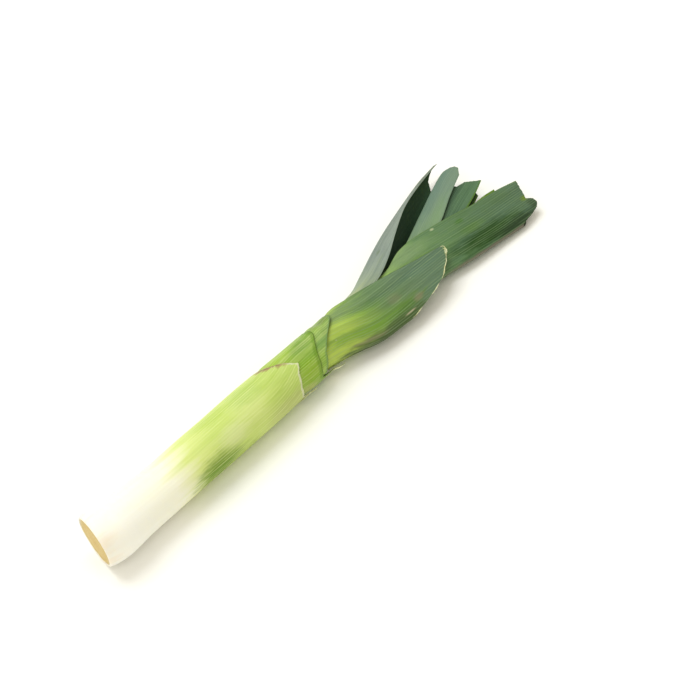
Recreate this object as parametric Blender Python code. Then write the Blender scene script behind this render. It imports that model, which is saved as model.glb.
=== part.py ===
"""A trimmed leek lying on its side: root plate, three cut sheaths nested one in the next, and six folded leaves.

Lengths below are millimetres. x runs from the root end to the leaf tips along the shaft, y to the left of the
shaft's axis seen from above, and z up from the surface that the leek lies on. metres() turns them into Blender's
metres about the object's origin, which is the bottom centre of its bounding box.
"""

import bpy
import numpy as np

MM = 0.001
MIDDLE_X = 229.5  # middle of the whole leek, from the root end
MIDDLE_Y = 15.3  # middle of the leaf fan, from the shaft's axis

# The shaft: (x, radius, y of its axis). It swells to a bulb at the root and lies on the floor all along.
SHAFT = ((-16, 21.9, 1.3), (-9, 21.9, 1.0), (-4, 21.9, 0.3), (1, 21.9, -0.4), (6, 21.9, -0.9), (13, 21.4, -1.0),
         (25, 20.3, -1.0), (40, 19.65, -1.2), (60, 19.25, -1.35), (100, 19.15, -1.4), (165, 19.1, -1.4),
         (185, 18.6, -1.2), (200, 18.1, -0.8), (218, 17.9, -0.7), (232, 17.5, -0.5), (244, 17.0, -0.2),
         (256, 16.9, 0.0))
ROOT_X = -9.6  # where the root cut crosses the axis
ROOT_SLANT_Y = 0.282  # how far the slanting cut runs along x for each millimetre of y
ROOT_SLANT_Z = -0.173
RIM_RADIUS = 19.5  # of the cut end; the shaft rounds out from it to the bulb
ROUNDING_LENGTH = 12.0
PLATE_RADIUS = 18.4
PLATE_DEPTH = 4.0
LEAF_AXIS_Z = 17.0  # height of the line that the leaves are rolled round

SHEATH_WALL = 0.9
LEAF_WALL = 0.9
GAP = 0.35  # kept between leaves that lie on each other
AROUND = 32  # facets round a sheath
ALONG_LEAF = 26
ACROSS_LEAF = 25
ROW_CROWDING = 1.4  # above 1 the rows stand closer together where the leaves are still rolled into each other

SECOND_START = 156.0  # where each inner piece is seated inside the one outside it
THIRD_START = 196.0
CUP_DEPTH = 6.0
TIP_LIFT = 1.2
SWELL_LENGTH = 13.0  # a sheath swells over this length once it is free of the one outside it

# Mouth of each cut sheath: (degrees round from the top, positive to the left, x of the edge)
OUTER_MOUTH = ((-150, 194), (-119, 196), (-100, 192), (-72, 191.5), (-41, 195), (-24, 200), (-18, 200), (2, 192.5),
               (21, 183.5), (34, 179), (55, 173), (90, 169), (130, 176), (180, 187))
SECOND_MOUTH = ((-140, 226), (-128, 238), (-120, 240), (-99, 216), (-78, 215), (-42, 217.6), (-13, 223), (10, 230), (34, 230),
                (75, 226), (120, 222), (180, 225))
THIRD_MOUTH = ((-150, 225), (-119, 220), (-90, 221), (-45, 226), (-16, 236.5), (1, 245), (20, 253), (40, 252), (75, 249),
               (120, 243), (180, 232))


def metres(points):
    """Millimetre points in the leek's own frame, as metres about the object's origin."""
    return (np.asarray(points, float) - (MIDDLE_X, MIDDLE_Y, 0.0)) * MM


def smooth_step(value):
    """0 below 0, 1 above 1, and a smooth rise between them."""
    t = np.clip(value, 0.0, 1.0)
    return t * t * (3.0 - 2.0 * t)


def make_object(name, points, faces, colour, roughness):
    """A smooth-shaded mesh object with a Principled material of its own."""
    mesh = bpy.data.meshes.new(name)
    mesh.from_pydata(metres(points).tolist(), [], faces)
    mesh.shade_smooth()
    material = bpy.data.materials.new(name)
    material.use_nodes = True
    shader = material.node_tree.nodes["Principled BSDF"]
    shader.inputs["Base Color"].default_value = (*colour, 1.0)
    shader.inputs["Roughness"].default_value = roughness
    mesh.materials.append(material)
    leek_object = bpy.data.objects.new(name, mesh)
    bpy.context.scene.collection.objects.link(leek_object)
    return leek_object


def grid_faces(rows, columns, closed):
    """Quads between the points of a grid of rows, each row closed into a ring or left open."""
    spans = columns if closed else columns - 1
    corners = [(i * columns, (i + 1) * columns, j, (j + 1) % columns) for i in range(rows - 1) for j in range(spans)]
    return [(row + j, following + j, following + k, row + k) for row, following, j, k in corners]


def ring_body(name, rings, start_pole, end_pole, colour, roughness):
    """A closed body through rings of points, with a fan of triangles to a pole at each end."""
    rings = np.array(rings)
    count, around, _ = rings.shape
    points = np.concatenate([rings.reshape(-1, 3), [start_pole, end_pole]])
    first, last = count * around, count * around + 1
    faces = grid_faces(count, around, closed=True)
    faces += [(first, j, (j + 1) % around) for j in range(around)]
    end = (count - 1) * around
    faces += [(last, end + (j + 1) % around, end + j) for j in range(around)]
    return make_object(name, points, faces, colour, roughness)


# --- Sheaths: rings round the shaft's axis -------------------------------------------------------------------------

ANGLES = np.arange(AROUND) * 2.0 * np.pi / AROUND  # from the top round to the left


def mouth_x(outline):
    """x of a sheath's edge at every angle, straight between the outline's points."""
    degrees, x = np.array(outline, float).T
    return np.interp(np.degrees(ANGLES), degrees, x, period=360.0)


OUTER_X = mouth_x(OUTER_MOUTH)
SECOND_X = mouth_x(SECOND_MOUTH)
THIRD_X = mouth_x(THIRD_MOUTH)


SHAFT_X, SHAFT_RADIUS, SHAFT_Y = np.array(SHAFT, float).T


def shaft_radius(x):
    """The shaft's own radius at x, which is also how high its axis lies."""
    return np.interp(x, SHAFT_X, SHAFT_RADIUS)


def axis_point(x):
    """The point of the shaft's axis at x."""
    return (x, np.interp(x, SHAFT_X, SHAFT_Y), shaft_radius(x))


def ring(x, radius):
    """Points round the shaft's axis, at an x and a radius for each angle."""
    x = np.broadcast_to(x, ANGLES.shape)
    _, axis_y, axis_z = axis_point(x)
    return np.stack([x, axis_y + radius * np.sin(ANGLES), axis_z + radius * np.cos(ANGLES)], axis=-1)


def root_cut_x(radius):
    """x of the slanting root cut at a distance from the axis, at every angle."""
    return ROOT_X + radius * (ROOT_SLANT_Y * np.sin(ANGLES) + ROOT_SLANT_Z * np.cos(ANGLES))


def outer_radius(x):
    """The shaft's radius, rounded down to the cut end's rim by a quarter of an ellipse."""
    short_of = np.clip(1.0 - (x - root_cut_x(RIM_RADIUS)) / ROUNDING_LENGTH, 0.0, 1.0)
    return shaft_radius(x) - (shaft_radius(ROOT_X) - RIM_RADIUS) * (1.0 - np.sqrt(1.0 - short_of ** 2))


def second_radius(x):
    """Inside the outer sheath until its edge, then swelling out level with it; its long tip stands off a little."""
    inside = shaft_radius(x) - SHEATH_WALL - GAP
    swell = (shaft_radius(x) - inside) * smooth_step((x - OUTER_X) / SWELL_LENGTH)
    return inside + swell + TIP_LIFT * smooth_step((x - 229.0) / 10.0)


def third_radius(x):
    """Inside the second sheath until its edge, then swelling out level with the shaft."""
    inside = second_radius(x) - SHEATH_WALL - GAP
    return inside + (shaft_radius(x) - inside) * smooth_step((x - SECOND_X) / SWELL_LENGTH)


def sheath(name, start_x, clear_x, edge_x, radius_at, cup_x, colour, roughness):
    """A plug seated at start_x, in the open from clear_x on, whose wall ends at edge_x round the next piece's cup."""
    clear_x = np.minimum(clear_x, edge_x - 3.0)
    outside = [np.full(AROUND, start_x)] + [clear_x + (edge_x - clear_x) * f for f in (0.0, 0.2, 0.45, 0.7, 1.0)]
    inside = [edge_x + (cup_x - edge_x) * f for f in (0.0, 0.25, 0.5, 1.0)]
    rings = [ring(x, radius_at(x)) for x in outside]
    rings += [ring(x, radius_at(x) - SHEATH_WALL) for x in inside]
    return ring_body(name, rings, axis_point(start_x), axis_point(cup_x), colour, roughness)


def outer_sheath():
    """The white shaft, with a shallow seat for the root plate at one end and a cup at the other."""
    rim = root_cut_x(RIM_RADIUS)
    seat = PLATE_RADIUS + GAP
    outside = [rim + (OUTER_X - rim) * f for f in (0.004, 0.013, 0.03, 0.06, 0.12, 0.25, 0.45, 0.7, 0.9, 1.0)]
    inside = [OUTER_X, (OUTER_X + SECOND_START) / 2.0, np.full(AROUND, SECOND_START - GAP)]
    rings = [ring(root_cut_x(seat) + PLATE_DEPTH, seat), ring(root_cut_x(seat), seat), ring(rim, RIM_RADIUS)]
    rings += [ring(x, outer_radius(x)) for x in outside]
    rings += [ring(x, outer_radius(x) - SHEATH_WALL) for x in inside]
    return ring_body("outer_sheath", rings, axis_point(ROOT_X + PLATE_DEPTH), axis_point(SECOND_START - GAP),
                     (0.78, 0.85, 0.52), 0.42)


def root_plate():
    """The tan cut stub in the seat, its face a little sunk below the rim."""
    face = root_cut_x(PLATE_RADIUS)
    rings = [ring(face + 0.4, PLATE_RADIUS), ring(face + PLATE_DEPTH - GAP, PLATE_RADIUS)]
    return ring_body("root_plate", rings, axis_point(ROOT_X + 0.3), axis_point(ROOT_X + PLATE_DEPTH - GAP),
                     (0.79, 0.66, 0.36), 0.6)


# --- Leaves: a folded section carried along x ----------------------------------------------------------------------

def station(x, keel, upper, lower, crease):
    """One row of a leaf's table.

    keel is the (y, z) of the fold. upper and lower are (y, z, bulge) of the two margins, where bulge is half the
    angle in degrees that the half turns through: 90 for half a tube, 0 for flat. crease is the fold's radius.
    """
    return (x, *keel, *upper, *lower, crease)


def tube(x, side, radius):
    """A station where the leaf is still rolled into a tube, its margins almost meeting."""
    opening = 0.9
    upper = (-side * radius, LEAF_AXIS_Z + opening, 87)
    lower = (-side * radius, LEAF_AXIS_Z - opening, 87)
    return station(x, (side * radius, LEAF_AXIS_Z), upper, lower, 0.9 * radius)


def along(stations, x):
    """The table's columns at each x, by cubic pieces whose slopes match at the stations."""
    table = np.array(stations, float)
    knots, values = table[:, 0], table[:, 1:]
    spans = np.diff(knots)[:, None]
    chords = np.diff(values, axis=0) / spans
    slopes = np.concatenate([chords[:1], (chords[:-1] * spans[1:] + chords[1:] * spans[:-1]) / (spans[1:] + spans[:-1]),
                             chords[-1:]])
    x = np.clip(x, knots[0], knots[-1])
    i = np.clip(np.searchsorted(knots, x, side="right") - 1, 0, len(knots) - 2)
    span = spans[i]
    t = (x - knots[i])[..., None] / span
    return ((1 + 2 * t) * (1 - t) ** 2 * values[i] + t * (1 - t) ** 2 * span * slopes[i]
            + t * t * (3 - 2 * t) * values[i + 1] - t * t * (1 - t) * span * slopes[i + 1])


def half_section(keel_y, keel_z, margin_y, margin_z, bulge, crease, share):
    """Points from the keel to the margin: a quarter-turn crease, then one arc, at a share of their joint length.

    The leaf leaves the keel straight up, turns on the crease's radius to the arc's first heading, and then follows
    the arc that bulges by the given half angle over the chord to the margin.
    """
    bulge = np.radians(np.clip(bulge, 0.5, 89.0))
    heading = np.zeros_like(keel_y)
    for _ in range(12):
        from_y = keel_y + crease * (1.0 - np.sin(heading))
        from_z = keel_z + crease * np.cos(heading)
        heading = np.clip(np.arctan2(margin_z - from_z, margin_y - from_y) + bulge, -np.pi / 2, np.pi / 2)
    chord = np.hypot(margin_z - from_z, margin_y - from_y)
    curvature = 2.0 * np.sin(bulge) / chord
    crease_length = crease * (np.pi / 2 - heading)
    travelled = share * (crease_length + chord * bulge / np.sin(bulge))
    turned = np.minimum(travelled, crease_length) / crease
    on_arc = np.maximum(travelled - crease_length, 0.0) * curvature
    y = keel_y + crease * (1.0 - np.cos(turned)) + (np.sin(heading) - np.sin(heading - on_arc)) / curvature
    z = keel_z + crease * np.sin(turned) + (np.cos(heading - on_arc) - np.cos(heading)) / curvature
    return y, z


def leaf(name, side, stations, end, colour, roughness):
    """A folded leaf: side is +1 with its keel on the left and -1 on the right.

    Its grid runs along x from the first station to the cut end, whose x is given by end as (share across, x), from
    -1 at the lower margin through 0 at the keel to 1 at the upper margin. A Solidify gives it its thickness.
    """
    share = np.linspace(-1.0, 1.0, ACROSS_LEAF)
    end_share, end_x = np.array(end, float).T
    length_share = np.linspace(0.0, 1.0, ALONG_LEAF)[:, None] ** ROW_CROWDING
    start_x = stations[0][0]
    x = start_x + length_share * (np.interp(share, end_share, end_x) - start_x)
    keel_y, keel_z, up_y, up_z, up_bulge, low_y, low_z, low_bulge, crease = np.moveaxis(along(stations, x), -1, 0)
    inward = -side
    across = np.broadcast_to(np.abs(share), x.shape)
    upper_y, upper_z = half_section(inward * keel_y, keel_z, inward * up_y, up_z, up_bulge, crease, across)
    lower_y, lower_z = half_section(inward * keel_y, -keel_z, inward * low_y, -low_z, low_bulge, crease, across)
    y = inward * np.where(share > 0, upper_y, lower_y)
    z = np.where(share > 0, upper_z, -lower_z)
    faces = grid_faces(ALONG_LEAF, ACROSS_LEAF, closed=False)
    if side < 0:
        faces = [face[::-1] for face in faces]
    made = make_object(name, np.stack([x, y, z], axis=-1).reshape(-1, 3), faces, colour, roughness)
    wall = made.modifiers.new("wall", "SOLIDIFY")
    wall.thickness = LEAF_WALL * MM
    wall.offset = 0.0
    return made


def short_leaf():
    """The leaf that wraps the bundle from the right, cut short and slanting."""
    stations = (
        tube(203, -1, 12.2),
        station(222, (-14.1, 17.0), (13.8, 17.9, 87), (13.8, 16.1, 87), 12.4),
        station(238, (-16.4, 16.4), (14.6, 18.6, 81), (14.6, 15.0, 81), 12.0),
        station(250, (-18.8, 15.2), (14.8, 20.2, 75), (14.8, 12.4, 66), 11.0),
        station(262, (-22.5, 13.8), (14.9, 25.8, 65), (13.6, 8.4, 50), 8.0),
        station(276, (-26.6, 12.6), (8.0, 33.0, 40), (7.0, 2.6, 28), 6.0),
        station(298, (-29.2, 12.0), (4.2, 32.6, 32), (0.0, 1.5, 23), 5.0),
        station(323, (-30.0, 11.4), (0.2, 30.6, 24), (-4.0, 1.0, 22), 4.5),
        station(347, (-31.0, 11.0), (-3.1, 27.6, 18), (-7.0, 1.3, 20), 4.0),
        station(374, (-32.0, 10.6), (-6.0, 23.6, 14), (-10.0, 1.6, 16), 4.0),
    )
    end = ((-1, 302), (-0.6, 311), (-0.2, 314), (0, 314), (0.1, 328), (0.2, 341), (0.3, 351), (0.5, 361), (0.8, 371),
           (1, 374))
    return leaf("short_leaf", -1, stations, end, (0.12, 0.22, 0.11), 0.5)


def left_leaf():
    """The leaf folded on the left, its upper half narrowing to a long point."""
    stations = (
        tube(218, 1, 12.0),
        station(240, (13.2, 17.0), (-13.1, 18.2, 86), (-13.1, 15.8, 86), 11.8),
        station(250, (13.2, 17.0), (-12.2, 21.8, 76), (-12.2, 12.2, 76), 11.4),
        station(262, (13.9, 17.0), (-9.2, 27.0, 62), (-9.2, 6.4, 62), 11.6),
        station(278, (16.2, 17.2), (-4.0, 30.6, 44), (-3.0, 3.4, 44), 8.0),
        station(294, (18.6, 17.0), (1.5, 30.9, 30), (-1.0, 3.0, 34), 5.0),
        station(313, (25.2, 16.7), (6.0, 29.8, 14), (3.0, 2.2, 18), 3.0),
        station(332, (32.2, 16.3), (13.2, 29.8, 8), (8.0, 1.3, 10), 2.4),
        station(357, (40.3, 15.6), (26.0, 29.6, 4), (14.0, 0.9, 5), 2.2),
        station(384, (48.0, 14.5), (38.5, 28.0, 2), (22.0, 0.7, 4), 2.2),
        station(410, (54.2, 13.5), (48.0, 23.0, 2), (28.0, 0.7, 3), 2.2),
        station(432, (58.8, 12.8), (55.0, 17.5, 2), (34.0, 0.7, 3), 2.0),
        station(455, (61.8, 12.0), (60.4, 14.0, 2), (45.0, 4.0, 3), 1.2),
    )
    end = ((-1, 430), (-0.75, 436), (-0.5, 431), (-0.2, 438), (0, 452), (1, 455))
    return leaf("left_leaf", 1, stations, end, (0.25, 0.34, 0.26), 0.6)


def right_leaf():
    """The broad leaf folded on the right, cut across at its end."""
    stations = (
        tube(221, -1, 10.6),
        station(244, (-11.7, 17.0), (11.6, 17.9, 86), (11.6, 16.1, 86), 10.6),
        station(262, (-12.1, 16.8), (11.5, 19.6, 78), (11.5, 14.4, 78), 10.8),
        station(278, (-13.9, 15.4), (11.2, 24.0, 58), (9.0, 8.8, 54), 7.0),
        station(296, (-15.4, 13.4), (9.0, 27.0, 38), (6.0, 5.2, 36), 5.0),
        station(318, (-16.4, 11.6), (7.2, 26.6, 22), (2.0, 4.2, 22), 4.0),
        station(347, (-18.2, 9.8), (14.8, 25.4, 10), (5.0, 3.2, 14), 3.2),
        station(395, (-24.6, 7.6), (11.7, 22.6, 3), (7.0, 1.8, 6), 3.0),
        station(425, (-28.6, 6.0), (6.0, 20.6, 2), (4.0, 1.2, 4), 3.0),
        station(457, (-31.6, 4.4), (1.4, 18.6, 2), (0.0, 0.7, 3), 3.0),
        station(475, (-33.4, 3.7), (-2.7, 17.5, 2), (-4.0, 0.7, 3), 3.0),
    )
    end = ((-1, 462), (-0.6, 470), (-0.15, 456), (0, 448), (0.05, 450), (0.12, 462), (0.2, 470), (0.3, 474),
           (0.42, 473), (0.5, 468.5), (0.6, 470), (1, 475))
    return leaf("right_leaf", -1, stations, end, (0.08, 0.18, 0.09), 0.5)


def round_tip_leaf():
    """The narrow leaf in the middle of the fan, its end cut round."""
    stations = (
        tube(224, 1, 9.2),
        station(248, (10.3, 17.0), (-10.2, 17.9, 84), (-10.2, 16.1, 84), 9.4),
        station(266, (10.4, 17.0), (-9.4, 20.0, 70), (-9.4, 14.0, 70), 8.6),
        station(290, (11.8, 17.1), (-7.5, 23.0, 44), (-7.5, 10.4, 46), 6.0),
        station(320, (12.6, 17.1), (-4.0, 21.6, 20), (-4.0, 9.8, 24), 3.2),
        station(345, (15.2, 17.0), (1.5, 20.4, 7), (-1.0, 10.0, 11), 2.2),
        station(364, (20.2, 17.0), (5.5, 20.1, 3), (4.0, 10.8, 5), 2.0),
        station(397, (31.9, 16.8), (12.6, 20.4, 2), (13.5, 11.4, 3), 2.0),
        station(426, (42.3, 16.8), (25.1, 20.5, 2), (25.0, 11.6, 3), 2.0),
        station(443, (47.5, 16.8), (31.8, 20.4, 2), (32.0, 11.8, 3), 2.0),
        station(460, (50.5, 16.8), (38.0, 20.2, 2), (38.0, 12.2, 3), 2.0),
    )
    end = ((-1, 438), (-0.5, 450), (0, 441), (0.12, 447.5), (0.3, 453.5), (0.5, 456.5), (0.75, 456.5), (1, 450))
    return leaf("round_tip_leaf", 1, stations, end, (0.20, 0.31, 0.22), 0.5)


def dark_leaf():
    """The darker leaf behind the round-tipped one, cut square."""
    stations = (
        tube(227, 1, 7.9),
        station(252, (8.6, 17.0), (-8.4, 18.0, 82), (-6.6, 11.6, 64), 7.8),
        station(272, (9.2, 17.0), (-7.0, 21.4, 58), (-3.6, 11.2, 48), 7.0),
        station(296, (10.0, 17.0), (-6.0, 20.6, 38), (-3.0, 12.2, 34), 4.5),
        station(325, (10.4, 16.7), (-4.0, 19.0, 16), (-3.0, 13.0, 18), 2.6),
        station(350, (12.6, 16.4), (-2.0, 18.0, 6), (-3.0, 13.2, 8), 1.7),
        station(380, (20.0, 16.2), (0.0, 17.9, 3), (-1.0, 13.4, 4), 1.4),
        station(427, (34.0, 16.2), (8.0, 18.2, 2), (6.5, 13.4, 2), 1.3),
        station(447, (39.4, 16.2), (14.2, 18.0, 2), (12.6, 13.6, 2), 1.3),
        station(462, (43.4, 16.2), (20.0, 18.0, 2), (19.0, 13.8, 2), 1.3),
    )
    end = ((-1, 446), (-0.6, 450), (0, 436), (0.35, 440), (0.5, 448), (1, 458))
    return leaf("dark_leaf", 1, stations, end, (0.08, 0.15, 0.09), 0.5)


def inner_leaf():
    """The small pale green leaf inside the right one, of which only the upper half is left."""
    stations = (
        station(230, (-6.3, 17.0), (6.3, 17.9, 86), (-4.8, 13.2, 20), 6.0),
        station(254, (-6.8, 17.0), (6.4, 17.9, 78), (-5.2, 13.0, 20), 6.0),
        station(270, (-7.9, 16.0), (5.6, 18.0, 62), (-6.2, 12.6, 18), 5.4),
        station(296, (-9.2, 14.8), (1.0, 18.0, 36), (-7.0, 11.0, 12), 3.5),
        station(325, (-10.6, 12.4), (-2.0, 16.4, 16), (-7.8, 8.6, 8), 2.2),
        station(350, (-12.6, 11.0), (-1.5, 15.7, 6), (-9.0, 8.0, 4), 1.8),
        station(395, (-16.6, 9.4), (3.4, 15.9, 2), (-12.0, 6.8, 3), 1.6),
        station(427, (-19.2, 8.4), (7.2, 16.0, 2), (-14.0, 5.8, 2), 1.5),
        station(447, (-20.2, 7.8), (7.3, 15.8, 2), (-15.0, 5.2, 2), 1.5),
        station(462, (-21.2, 7.2), (5.4, 15.0, 2), (-15.5, 4.6, 2), 1.5),
    )
    end = ((-1, 440), (0, 450), (0.5, 456), (0.8, 455), (1, 458))
    return leaf("inner_leaf", -1, stations, end, (0.26, 0.46, 0.09), 0.5)


def second_sheath():
    """The next leaf's tube, seated in the outer sheath; its blade was cut off at the collar."""
    return sheath("second_sheath", SECOND_START, OUTER_X, SECOND_X, second_radius, THIRD_START - GAP,
                  (0.45, 0.60, 0.16), 0.45)


def third_sheath():
    """The third leaf's tube, which shows on the left between the second one's edge and the leaves."""
    return sheath("third_sheath", THIRD_START, SECOND_X, THIRD_X, third_radius, THIRD_START + CUP_DEPTH,
                  (0.30, 0.48, 0.14), 0.45)


for old in list(bpy.data.objects):
    bpy.data.objects.remove(old)

for build in (root_plate, outer_sheath, second_sheath, third_sheath, short_leaf, left_leaf, right_leaf,
              round_tip_leaf, dark_leaf, inner_leaf):
    build()
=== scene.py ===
"""A trimmed leek lying on its side on a pale floor, built piece by piece from the root plate to the leaf
tips.

Lengths below are millimetres in the leek's own frame: x runs from the root end to the leaf tips, y to the
left of the shaft's axis seen from above, and z up from the floor. leek_metres() turns them into the frame's
metres.
"""

import bpy
import numpy as np
from mathutils import Matrix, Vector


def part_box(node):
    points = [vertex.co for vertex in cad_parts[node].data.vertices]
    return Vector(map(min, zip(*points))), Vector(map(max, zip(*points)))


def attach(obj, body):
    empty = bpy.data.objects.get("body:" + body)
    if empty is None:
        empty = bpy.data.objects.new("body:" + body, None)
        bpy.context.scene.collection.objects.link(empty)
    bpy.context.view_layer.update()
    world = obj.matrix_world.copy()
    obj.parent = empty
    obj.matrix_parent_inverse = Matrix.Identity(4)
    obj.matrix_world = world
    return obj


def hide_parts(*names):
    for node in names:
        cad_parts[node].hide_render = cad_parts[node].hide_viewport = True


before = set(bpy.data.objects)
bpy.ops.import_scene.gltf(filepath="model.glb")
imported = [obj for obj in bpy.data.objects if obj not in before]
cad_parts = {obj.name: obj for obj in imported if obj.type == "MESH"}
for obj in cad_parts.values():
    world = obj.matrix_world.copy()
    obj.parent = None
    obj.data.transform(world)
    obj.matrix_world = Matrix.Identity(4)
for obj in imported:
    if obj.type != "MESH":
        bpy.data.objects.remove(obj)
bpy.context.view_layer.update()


# --- Outer sheath: the tube of the outermost leaf, which is the white shaft and its yellow-green upper
# part. It is waxy living leaf tissue with long fibres in it, cut across at the root, and its blade was cut
# off at a slanting collar whose edge has dried to a thin brown skin. --------------------------------------

MM = 0.001
SEAT_X = 156.0  # where the second sheath is seated
PLATE_MIDDLE_Y = 0.70  # the root plate's middle, from which the frame's place is taken
plate_low, plate_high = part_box("root_plate")
ORIGIN = np.array([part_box("second_sheath")[0].x - SEAT_X * MM,
                   (plate_low.y + plate_high.y) / 2.0 - PLATE_MIDDLE_Y * MM, 0.0])

# The shaft: (x, radius, y of its axis). It swells to a bulb at the root and lies on the floor all along.
SHAFT = ((-16, 21.9, 1.3), (-9, 21.9, 1.0), (-4, 21.9, 0.3), (1, 21.9, -0.4), (6, 21.9, -0.9),
         (13, 21.4, -1.0), (25, 20.3, -1.0), (40, 19.65, -1.2), (60, 19.25, -1.35), (100, 19.15, -1.4),
         (165, 19.1, -1.4), (185, 18.6, -1.2), (200, 18.1, -0.8), (218, 17.9, -0.7), (232, 17.5, -0.5),
         (244, 17.0, -0.2), (256, 16.9, 0.0))
SHEATH_WALL = 0.9
GAP = 0.35
ROOT_X = -9.6  # where the root cut crosses the axis
ROOT_SLANT_Y = 0.282  # how far the root cut leans along x for each millimetre to the left
ROOT_SLANT_Z = -0.173  # and for each millimetre up
RIM_RADIUS = 19.5
ROUNDING_LENGTH = 12.0
PLATE_RADIUS = 18.4
AROUND = 288  # points in each ring
MM_PER_DEGREE = 0.3  # about what a degree round the shaft measures on its skin

# Outline of the cut collar: (degrees round from the top, positive to the left, x of the edge)
OUTER_MOUTH = ((-150, 194), (-128, 196), (-119, 200), (-112, 194), (-100, 192.5), (-72, 191.5), (-41, 195),
               (-25, 200), (-20, 200.5), (-16, 198), (2, 192.5), (21, 183.5), (34, 179), (55, 173), (90, 169),
               (130, 176), (180, 187))

ANGLES = np.arange(AROUND) * 2.0 * np.pi / AROUND
TURN = np.where(ANGLES > np.pi, ANGLES - 2.0 * np.pi, ANGLES)  # from the top, positive to the left


def leek_metres(points):
    """Millimetre points in the leek's own frame, as metres in the frame's."""
    return np.asarray(points, float) * MM + ORIGIN


def smooth_step(value):
    """0 below 0, 1 above 1, and a smooth rise between them."""
    t = np.clip(value, 0.0, 1.0)
    return t * t * (3.0 - 2.0 * t)


def hump(value, centre, width):
    """A bell that is 1 at the centre and falls to about a third one width away."""
    return np.exp(-(((value - centre) / width) ** 2))


def uneven(u, v, seed, waves=7):
    """A smooth irregular field from about -1 to 1: a mean of sines of u and v with seeded pace and phase."""
    draws = np.random.default_rng(seed)
    total = np.zeros(np.broadcast(u, v).shape)
    for _ in range(waves):
        pace_u, pace_v = draws.uniform(-1.0, 1.0, 2)
        total += np.sin(2.0 * np.pi * (pace_u * u + pace_v * v) + draws.uniform(0.0, 2.0 * np.pi))
    return total / waves ** 0.5 / 1.4


def frayed(u, seed):
    """A jagged line between about -1 and 1: straight stretches between seeded heights one unit of u apart."""
    heights = np.random.default_rng(seed).uniform(-1.0, 1.0, 512)
    return np.interp(u, np.arange(-256, 256), heights)


def grid_faces(rows, columns, closed, offset=0, turned=False):
    """Quads between the points of a grid of rows, each row closed into a ring or left open."""
    i, j = np.meshgrid(np.arange(rows - 1), np.arange(columns if closed else columns - 1), indexing="ij")
    k = (j + 1) % columns
    row, following = i * columns, (i + 1) * columns
    corners = np.stack([row + j, following + j, following + k, row + k], axis=-1)
    if turned:
        corners = corners[..., ::-1]
    return corners.reshape(-1, 4) + offset


def leek_piece(name, points, faces, fields, material, node):
    """One smooth piece of the leek for its CAD node; each field gives the material a number per point."""
    mesh = bpy.data.meshes.new(name)
    mesh.from_pydata(leek_metres(points).tolist(), [], [tuple(face) for face in faces])
    for field, values in fields.items():
        attribute = mesh.attributes.new(field, "FLOAT", "POINT")
        attribute.data.foreach_set("value", np.asarray(values, np.float32).ravel())
    mesh.shade_smooth()
    mesh.materials.append(material)
    piece = bpy.data.objects.new(name, mesh)
    bpy.context.scene.collection.objects.link(piece)
    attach(piece, "root")
    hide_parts(node)
    return piece


def mouth_x(outline):
    """x of a sheath's edge at every angle, straight between the outline's points."""
    degrees, x = np.array(outline, float).T
    return np.interp(np.degrees(ANGLES), degrees, x, period=360.0)


def along_table(stations, x):
    """The columns of a table of stations at each x, by cubic pieces whose slopes match at the stations."""
    table = np.array(stations, float)
    knots, values = table[:, 0], table[:, 1:]
    spans = np.diff(knots)[:, None]
    chords = np.diff(values, axis=0) / spans
    inner = (chords[:-1] * spans[1:] + chords[1:] * spans[:-1]) / (spans[1:] + spans[:-1])
    slopes = np.concatenate([chords[:1], inner, chords[-1:]])
    x = np.clip(x, knots[0], knots[-1])
    i = np.clip(np.searchsorted(knots, x, side="right") - 1, 0, len(knots) - 2)
    span = spans[i]
    t = (x - knots[i])[..., None] / span
    return ((1 + 2 * t) * (1 - t) ** 2 * values[i] + t * (1 - t) ** 2 * span * slopes[i]
            + t * t * (3 - 2 * t) * values[i + 1] - t * t * (1 - t) * span * slopes[i + 1])


def shaft_radius(x):
    """The shaft's own radius at x, which is also how high its axis lies."""
    return along_table(SHAFT, np.asarray(x, float))[..., 0]


def axis_point(x):
    """The point of the shaft's axis at x."""
    return (x, along_table(SHAFT, np.asarray(x, float))[..., 1], shaft_radius(x))


def ring(x, radius):
    """Points round the shaft's axis, at an x and a radius for each angle, kept just above the floor."""
    x = np.broadcast_to(x, ANGLES.shape)
    _, axis_y, axis_z = axis_point(x)
    return np.stack([x, axis_y + radius * np.sin(ANGLES), np.maximum(axis_z + radius * np.cos(ANGLES), 0.02)],
                    axis=-1)


def ring_body(name, rings, start_pole, end_pole, fields, material, node):
    """A closed body through rings of points, with a fan of triangles to a pole at each end."""
    rings = np.array(rings)
    count, around, _ = rings.shape
    points = np.concatenate([rings.reshape(-1, 3), [start_pole, end_pole]])
    first, last = count * around, count * around + 1
    j = np.arange(around)
    k = (j + 1) % around
    end = (count - 1) * around
    fans = [(first, a, b) for a, b in zip(j, k)] + [(last, end + b, end + a) for a, b in zip(j, k)]
    faces = list(map(tuple, grid_faces(count, around, closed=True))) + fans
    fields = {field: np.concatenate([np.broadcast_to(values, (count, around)).ravel(), [0.0, 0.0]])
              for field, values in fields.items()}
    return leek_piece(name, points, faces, fields, material, node)


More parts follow.
